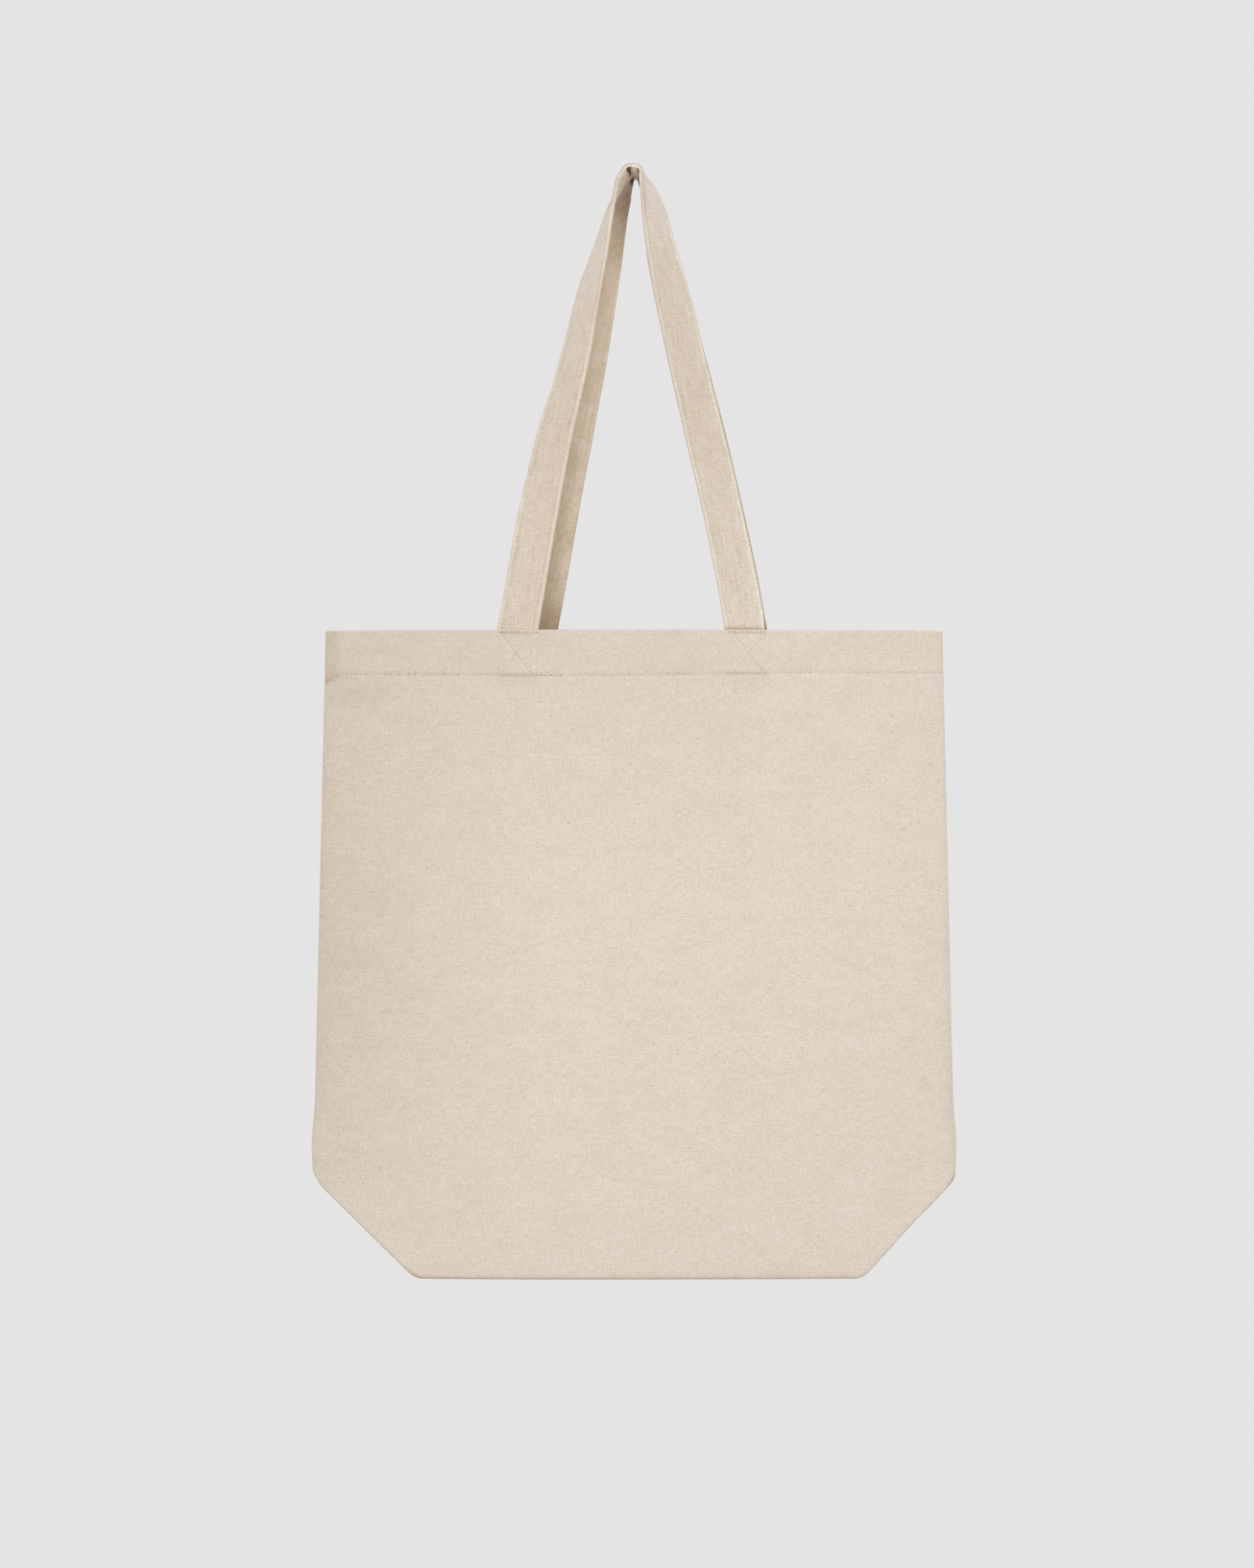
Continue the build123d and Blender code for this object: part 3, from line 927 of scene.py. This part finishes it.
def front_strap_light_and_shade(x, z):
    """Painted light and shade of the front strap's faces, rows, edges and inner face; x and z are in mm."""
    # Down each leg: painted shade lower down, painted light near the top.
    heights = [-281, -250, -212, -180, -150, -110, -94, -60, -28, 0]
    left = np.interp(z, heights, [0.2, 0.35, 0.25, 0.4, 0.35, -0.1, -0.15, -0.9, -1.6, -0.85])
    heights = [-281, -235, -207, -160, -110, -70, -46, -36, -18, -9, 0]
    right = np.interp(z, heights, [-0.2, 0.25, 0.15, 0.48, 0.4, 0.3, -0.1, -0.5, -0.85, -1.7, -1.9])
    # Painted light on the outer side of the right leg.
    outer = ease((-section_a - 5 * MM) / (5 * MM)) * (x > 0)
    face = np.where(x < 0, left, right) - 0.4 * outer
    row = STRAP_ROW_SHADE * (1 - outer) * np.where(x < 0, 1, 0.6 * ease((-80 - z) / 25))
    # The edges: paler low down, painted shade near the top.
    left = np.interp(z, [-160, -110, -95, -80, -45, -27, -17], [0.75, 0.45, 0.2, -0.7, -0.9, -1.2, -1.8])
    right = np.interp(z, [-160, -100, -40, -15], [0.75, 0.5, 0.25, -1.2])
    right = right - ease((z + 36) / 20) * (section_a > 0)
    edge = -np.where(x < 0, left, right) * ease((np.abs(section_a) - 9.9 * MM) / MM)
    # Painted light on the inner face near the top.
    inner_light_and_shade = np.interp(z, [-40, -12, -4, 1], [0, -1.3, -1.6, -1.6]) * inner_face
    return face, row + edge, inner_light_and_shade


def back_strap_light_and_shade(z):
    """The same for the back strap: painted shade near the mouth, painted light near the top and a painted
    shadow of the front strap beside it.
    """
    # Painted shade on the face near the mouth, painted light near the top, uneven in between.
    heights = [-281, -271, -263, -245, -220, -190, -110, -60]
    face = np.interp(z, heights, [1.6, 1.2, 0.4, 0.25, 0.1, -0.05, -0.35, -1.0])
    # Painted shadow of the front strap: darker next to it, paler on the far side.
    front_strap_shadow = np.interp(section_a / MM, [-2, 1, 3, 6, 9, 11], [0.55, 0.45, 0.1, -0.15, -0.5, -0.6])
    face = face + front_strap_shadow * ease((-45 - z) / 20) * ease((z + 268) / 15)
    face = face + 0.18 * swell(95, z * MM, section_a[None, :], 17 * MM, 13 * MM)
    face = face + 0.18 * swell(96, z * MM, section_a[None, :], 5 * MM, 9 * MM)
    # Painted shade on the edges below the top.
    edge = 0.75 * ease((np.abs(section_a) - 11.0 * MM) / MM) * ease((-90 - z) / 30)
    # Painted shade on the inner face in the bend, with a little painted light at its very top.
    heights = [-60, -37, -27, -18, -9, -6, -2]
    inner_light_and_shade = np.interp(z, heights, [0.05, 0.45, 1.05, 2.0, 1.8, 0.7, -0.5]) * inner_face
    return face, STRAP_ROW_SHADE + edge, inner_light_and_shade


def strap_light_and_shade(side, rings):
    """Painted light and shade of a strap, with painted shade in the creases of its bend and where it meets
    the mouth.
    """
    x, z = rings[:, :, 0] / MM, rings[:, :, 2] / MM
    face, rows_and_edges, inner_light_and_shade = front_strap_light_and_shade(x, z) if side == FRONT else back_strap_light_and_shade(z)
    crease_place, right_root = (4.2, 2.2) if side == FRONT else (5.0, 0.4)
    mids = rings.mean(axis=1)
    run = run_length(mids) / MM
    from_top = np.abs(run - run[np.argmax(mids[:, 2])])[:, None]
    in_bend = inner_face * (z > -12)
    # Painted light at the top of the bend's inner face.
    inner_light_and_shade = inner_light_and_shade - 1.5 * bell(from_top, 0, 2.2) * in_bend
    # Painted shade in the two creases of the bend.
    crease = np.minimum(1.8 * bell(from_top, crease_place, 1.5), 1) * in_bend
    crease = crease * ease((12.0 * MM - np.abs(section_a)) / MM)
    # Painted shadow where the right leg meets the mouth, a little painted light where the left one does.
    root = np.where(x > 0, right_root, -0.3) * ease(1 - (z - MOUTH_Z / MM) / 3.0)
    return face + rows_and_edges + root + inner_light_and_shade * (1 - crease) + (6.0 - face) * crease


print("soil in the rows of a strap", round(float(STRAP_ROW_SHADE.max()), 2))

# %% [markdown]
# ## From path to strap
# Each handle is made in three pieces: the free strap, which swings, and two sewn ends, which stay with the
# bag. One long strip could be bent at the mouth instead, but its ends belong to another body. The section is
# set down as a ring of points at each step of the path, more closely in the bend, and quads join the rings.

# %% Straps and sewn ends
SPLIT_Z = MOUTH_Z - 4 * MM
RING_STEP = 3


def make_strap(side, name, keep):
    """Carries the section along the part of a handle that keep picks, and closes both ends."""
    points, across, out, at = frames[side]
    picked = np.flatnonzero(keep)
    bent = picked[points[picked][:, 2] > -20 * MM]
    picked = np.unique(np.concatenate([picked[::RING_STEP], picked[-1:], bent]))
    wave = 0.10 * MM * swell(90 + side, at[picked], 0 * at[picked], 28 * MM, 1)
    rings = (
        points[picked][:, None]
        + across[picked][:, None] * section_a[None, :, None]
        + out[picked][:, None] * (section_b[None, :, None] + wave[:, None, None])
    )
    uv = np.stack(np.broadcast_arrays(at[picked][:, None], section_run[None, :] + 8.0 + side), axis=-1)
    count, ring = rings.shape[:2]
    faces = [grid_faces(count, ring, ring=True)]
    i = np.arange(ring // 2 - 1)
    for base, order in ((0, 1), ((count - 1) * ring, -1)):
        cap = base + np.stack([i, i + 1, ring - 2 - i, ring - 1 - i], axis=-1)
        faces.append(cap[:, ::order])
    # Painted warm bounced light on the back strap's inner face.
    warm = 0.0 if side == FRONT else ease((-5 * MM - rings[:, :, 2]) / (35 * MM)) * inner_face
    mesh = cloth_mesh(name, rings, uv, np.concatenate(faces), strap_light_and_shade(side, rings), warm)
    mesh.validate()
    return link(mesh, name, strap_canvas)


straps, tails = {}, {}
for side, word in SIDES:
    points = frames[side][0]
    straps[side] = make_strap(side, f"{word}_handle_webbing", points[:, 2] > SPLIT_Z - 0.3 * MM)
    for hand, end in HANDS:
        sewn = (points[:, 2] < SPLIT_Z + 0.3 * MM) & (points[:, 0] * hand > 0)
        tails[side, hand] = make_strap(side, f"{word}_{end}_sewn_end", sewn)
print("strap", len(straps[FRONT].data.polygons), "faces")

# %% [markdown]
# ## Seams inside
# The seam allowances stand up inside the bag: two layers of cloth at each side, along the ridge of the base
# and at each boxed corner. One thick strip could stand for both layers, but from above the gap between them
# tells how the bag was put together.

# %% Seam strips
SEAM_WIDTH = 10 * MM
SIDE_SEAM_WIDTH = 9.0 * MM
RIDGE_END = 137.5 * MM


def ribbon(name, centre, across_line, seed):
    """Two layers of cloth lying face to face: centre is the folded edge, across_line goes to the raw edge."""
    steps = np.linspace(0, 1, 7)
    points, uv, faces, offset = [], [], [], 0
    normal = np.cross(np.gradient(centre, axis=0), across_line)
    normal /= np.linalg.norm(normal, axis=1, keepdims=True)
    run = run_length(centre)
    for layer in (0, 1):
        place = (layer - 0.5) * CLOTH * 0.92
        spread = 0.15 * MM * swell(seed + layer, run, 0 * run, 24 * MM, 1)
        grid = centre[:, None] + across_line[:, None] * steps[None, :, None]
        grid = grid + normal[:, None] * (place + spread[:, None] * steps[None, :])[..., None]
        points.append(grid.reshape(-1, 3))
        flat = np.broadcast_arrays(steps[None, :] * SEAM_WIDTH + 11 + layer, run[:, None])
        uv.append(np.stack(flat, axis=-1).reshape(-1, 2))
        faces.append(grid_faces(len(run), len(steps)) + offset)
        offset += grid.shape[0] * grid.shape[1]
    mesh = cloth_mesh(name, np.concatenate(points), np.concatenate(uv), np.concatenate(faces))
    return link(thicken(mesh, CLOTH * 0.9, name), name, seam_canvas)


def straight(start, end, step=4 * MM):
    """Points along a straight line."""
    start, end = np.array(start), np.array(end)
    count = max(4, int(np.linalg.norm(end - start) / step))
    return start + (end - start) * np.linspace(0, 1, count)[:, None]


ridge = straight((-RIDGE_END, 0, BASE_Z + TUCK), (RIDGE_END, 0, BASE_Z + TUCK))
seam_plans = []
for hand, word in HANDS:
    heights = np.linspace(72 * MM, 399 * MM, 90)
    upright = np.stack([hand * (half_width(heights) - 1.2 * MM), 0 * heights, BASE_Z + heights], axis=-1)
    tucked = straight((hand * 139 * MM, 0, BASE_Z + TUCK), (hand * 187 * MM, 0, BASE_Z + TUCK))
    seam_plans.append((f"{word}_side_seam_upright", upright, (-hand * SIDE_SEAM_WIDTH, 0, 0), 100))
    seam_plans.append((f"{word}_side_seam_tucked", tucked, (0, 0, SEAM_WIDTH), 104))
seam_plans.append(("base_seam_strip", ridge, (0, 0, SEAM_WIDTH), 108))

seams, overcast_lines = {}, []
for name, centre, width, seed in seam_plans:
    across_line = np.broadcast_to(width, centre.shape)
    seams[name] = ribbon(name, centre, across_line, seed)
    overcast_lines.append((centre, across_line))
print("seam strips", len(seams))

# %% Corner seams
CORNER_FOOT, CORNER_HEAD = 25 * MM, 58.5 * MM
CORNER_IN = 129.8 * MM


def on_base(side, x, h):
    """Depth of a corner seam that lies against the tucked base."""
    crease = EDGE + float(bow(0.0)) * (1 - (x / (199 * MM)) ** 2) - CLOTH - 2 * FOLD
    return side * (crease + (0.55 * CLOTH - crease) * h / TUCK + 1.5 * CLOTH)


for hand, word in HANDS:
    for side, wall_word in SIDES:
        x_out, x_in = hand * RIDGE_END, hand * CORNER_IN
        foot_y, head_y = on_base(side, x_out, CORNER_FOOT), on_base(side, x_out, CORNER_HEAD)
        edge_line = straight((x_out, foot_y, BASE_Z + CORNER_FOOT), (x_out, head_y, BASE_Z + CORNER_HEAD))
        depth_change = on_base(side, x_in, CORNER_FOOT) - foot_y
        inwards = np.broadcast_to([x_in - x_out, depth_change, 0], edge_line.shape)
        name = f"{word}_corner_seam_{wall_word}"
        seams[name] = ribbon(name, edge_line, inwards, 120)
print("with corners", len(seams))

# %% [markdown]
# ## Stitches
# A machine stitch looks like a small grain: fat in the middle, sinking into the cloth at both ends. Copies of
# one grain could be scattered with geometry nodes, but a plain mesh for each kind of row is easier to carry
# to other tools. A helper lays grains along a line on a surface. The rows are the hem's row round the mouth,
# a crossed box on each handle end, a row along both edges of each strap, on both faces, and the slanting
# stitches over the raw edges of the seams.

# %% Stitch helper
STITCH_LENGTH = 2.75 * MM
STITCH_PITCH = 3.0 * MM
GRAIN_SIDES = 6
SUNK = 0.30 * MM


def stitches(name, rows, length=STITCH_LENGTH, width=0.42 * MM):
    """One mesh of stitches; a row holds middles, directions, normals and how hard each thread pulls."""
    middles, directions, normals, pulls = [np.concatenate(group) for group in zip(*rows)]
    directions = directions / np.linalg.norm(directions, axis=1, keepdims=True)
    normals = normals - directions * (normals * directions).sum(1, keepdims=True)
    normals /= np.linalg.norm(normals, axis=1, keepdims=True)
    sides = np.cross(normals, directions)
    verts, faces, pits = [], [], []
    rng = np.random.default_rng(len(middles))
    angles = np.linspace(0, 2 * np.pi, GRAIN_SIDES + 1)[:-1]
    for middle, along, up, across, pull in zip(middles, directions, normals, sides, pulls):
        base = len(verts)
        verts.append(middle - along * length / 2 - up * SUNK)
        for share in (-0.27, 0.27):
            for angle in angles:
                around = across * width / 2 * math.cos(angle) + up * width * 0.42 * math.sin(angle)
                verts.append(middle + along * length * share + around)
        verts.append(middle + along * length / 2 - up * SUNK)
        # A flat disc in the darker colour at the needle's hole: painted shade of the pit.
        pit = middle + along * length * 0.53
        spread = rng.uniform(0.2, 1.3) * 0.44 * MM * pull
        for angle in angles:
            verts.append(pit + spread * (across * math.cos(angle) + along * 1.2 * math.sin(angle)))
        for i in range(GRAIN_SIDES):
            j = (i + 1) % GRAIN_SIDES
            faces.append((base, base + 1 + j, base + 1 + i))
            faces.append((base + 1 + i, base + 1 + j, base + 7 + j, base + 7 + i))
            faces.append((base + 13, base + 7 + i, base + 7 + j))
        faces.append(tuple(base + 14 + i for i in range(GRAIN_SIDES)))
        pits += [0] * 3 * GRAIN_SIDES + [1]
    mesh = bpy.data.meshes.new(name)
    mesh.from_pydata([tuple(v) for v in verts], [], faces)
    piece = link(mesh, name, sewing_thread, 80)
    mesh.materials.append(pit_shade)
    mesh.polygons.foreach_set("material_index", pits)
    print(name, len(middles))
    return piece


print("a stitch is", round(STITCH_LENGTH / MM, 2), "mm long")

# %% Stitches of the hem and its boxes
BOX_PITCH = 2.7 * MM


def points_at(places, run, points):
    """Points of a line at the given lengths along it."""
    return np.stack([np.interp(places, run, column) for column in points.T], axis=-1)


def wall_stitches(side, path_xh, pitch, lift, pull=1.0):
    """One row of stitches along a path drawn on a wall; lift is how far it is out from the wall's face."""
    path_xh = np.array(path_xh)
    run = run_length(path_xh)
    count = max(2, round(run[-1] / pitch))
    at = (np.arange(count) + 0.5) * run[-1] / count

    def on_wall(places):
        x, h = points_at(places, run, path_xh).T
        return np.stack([x, side * (wall_face(side, x, h) + lift), BASE_Z + h], axis=-1)

    directions = on_wall(at + 0.4 * MM) - on_wall(at - 0.4 * MM)
    outwards = np.broadcast_to([0, side * math.copysign(1, lift + 1 * MM), 0], (count, 3))
    x, h = points_at(at, run, path_xh).T
    return on_wall(at), directions, outwards, pull * (1 + 0.2 * swell(60, x, h, 25 * MM, 25 * MM))


def box_paths(x_end, hand):
    """The crossed box that holds a handle end, line by line, each with how hard its thread pulls."""
    left, right = x_end + hand * BOX_OUT - BOX_HALF, x_end + hand * BOX_OUT + BOX_HALF
    low, high = float(row_height(x_end)), BOX_TOP
    return [
        ([(x_end - ROW_HALF, high), (x_end + ROW_HALF, high)], 1.2),
        ([(x_end - ROW_HALF, low), (x_end + ROW_HALF, low)], 1.2),
        ([(left, low), (left, high)], 0.5),
        ([(right, low), (right, high)], 0.5),
        ([(left, high), (right, low)], 0.75),
        ([(left, low), (right, high)], 0.65),
    ]


def box_stitches(side, lift):
    """Rows of stitches for both crossed boxes of a wall."""
    rows = []
    for hand in (LEFT, RIGHT):
        for path_xh, pull in box_paths(HANDLE_ENDS[side, hand], hand):
            rows.append(wall_stitches(side, path_xh, BOX_PITCH, lift, pull))
    return rows


stitch_pieces = {}
for side, word in SIDES:
    reach = float(half_width(HEM_ROW)) - 1.5 * MM
    row = [(x, float(row_height(x))) for x in np.linspace(-reach, reach, 160)]
    middles, headings, outwards, pulls = wall_stitches(side, row, STITCH_PITCH, 0.06 * MM)
    # The painted shade of the pits is larger left of the middle.
    pulls = pulls * (1.1 - 0.4 * ease(middles[:, 0] / (40 * MM)))
    rows = [(middles, headings, outwards, pulls)] + box_stitches(side, 0.04 * MM)
    stitch_pieces[word + "_hem"] = stitches(f"{word}_hem_stitches", rows)

# %% Inside rows
HEM_DEPTH = -(CLOTH + 2 * CREST + 0.05 * MM)
for side, word in SIDES:
    gaps = [HANDLE_ENDS[side, hand] + gap for hand in (LEFT, RIGHT) for gap in (-13 * MM, 13 * MM)]
    spans = [-178 * MM, *gaps, 178 * MM]
    rows = []
    for start, end in zip(spans[::2], spans[1::2]):
        path_xh = [(x, HEM_ROW) for x in np.linspace(start, end, 40)]
        rows.append(wall_stitches(side, path_xh, STITCH_PITCH, HEM_DEPTH))
    rows += box_stitches(side, HEM_DEPTH - STRAP_THICK + 0.1 * MM)
    stitch_pieces[word + "_inside"] = stitches(f"{word}_inside_stitches", rows)

# %% Strap rows
for side, word in SIDES:
    points, across, out, at = frames[side]
    free = np.flatnonzero(points[:, 2] > MOUTH_Z + 1.5 * MM)
    first, last = at[free[0]], at[free[-1]]
    count = round((last - first) / STITCH_PITCH)
    place = first + (np.arange(count) + 0.5) * (last - first) / count
    rows = []
    for face in (1, -1):
        for edge, pull in ((-STITCH_IN, 0.4), (STITCH_IN, 0.6)):
            depth = float(strap_half(np.array(edge))) + 0.06 * MM
            line = points + across * edge + out * depth * face
            headings = points_at(place, at, np.gradient(line, axis=0))
            normals = points_at(place, at, out * face)
            rows.append((points_at(place, at, line), headings, normals, np.full(count, pull)))
    stitch_pieces[word + "_strap"] = stitches(f"{word}_strap_stitches", rows)

# %% Overcast edges
OVERCAST_LENGTH, OVERCAST_WIDTH, OVERCAST_PITCH = 5.0 * MM, 0.4 * MM, 2.6 * MM
OVERCAST_SHARE = 0.74
rows = []
for centre, across_line in overcast_lines:
    run = run_length(centre)
    place = np.arange(1.5 * MM, run[-1] - 1 * MM, OVERCAST_PITCH)
    middles = points_at(place, run, centre + across_line * OVERCAST_SHARE)
    heading = across_line[0] + (centre[-1] - centre[0]) / run[-1] * 1.2 * MM
    headings = np.broadcast_to(heading, middles.shape)
    for face in (-1, 1):
        outwards = np.broadcast_to([0, face, 0], middles.shape)
        rows.append((middles + outwards * 1.05 * CLOTH, headings, outwards, np.ones(len(middles))))
stitch_pieces["overcast"] = stitches("overcast_stitches", rows, OVERCAST_LENGTH, OVERCAST_WIDTH)

# %% [markdown]
# ## Riding on the frame
# Everything sewn to the bag rides on the bag: the walls, base, hems, seams and sewn ends, with their
# stitches. The free straps and their stitches stay where they were made, with their transforms applied.

# %% Bag pieces
cut_pieces = [
    (front_wall, ["front_panel"], "body_canvas"),
    (back_wall, ["back_panel"], "body_canvas"),
    (front_base, ["front_base_half"], "body_canvas"),
    (back_base, ["back_base_half"], "body_canvas"),
    (front_hem, ["front_hem"], "hem_canvas"),
    (back_hem, ["back_hem"], "hem_canvas"),
]
# A strip stands for the seam that its name begins with, as left_side_seam_upright does for left_side_seam.
cut_pieces += [(strip, [name.rsplit("_", 1)[0]], "seam_canvas") for name, strip in seams.items()]
for side, word in SIDES:
    for hand, end in HANDS:
        cut_pieces.append((tails[side, hand], [f"{word}_{end}_tail"], "handle_canvas"))
for piece, nodes_stood_for, slot in cut_pieces:
    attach(piece, "bag")
    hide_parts(*nodes_stood_for)
for key in ("front_hem", "back_hem", "front_inside", "back_inside", "overcast"):
    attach(stitch_pieces[key], "bag")
print("bag pieces ride on the bag")

# %% Handles
for side, word in SIDES:
    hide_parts(f"{word}_handle_strap")
    for piece in (straps[side], stitch_pieces[word + "_strap"]):
        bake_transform(piece)

# %% [markdown]
# ## Cut flat
# Each sheet was cut flat before it was sewn.

# %% Sheets
print("each sheet was cut flat before it was sewn")
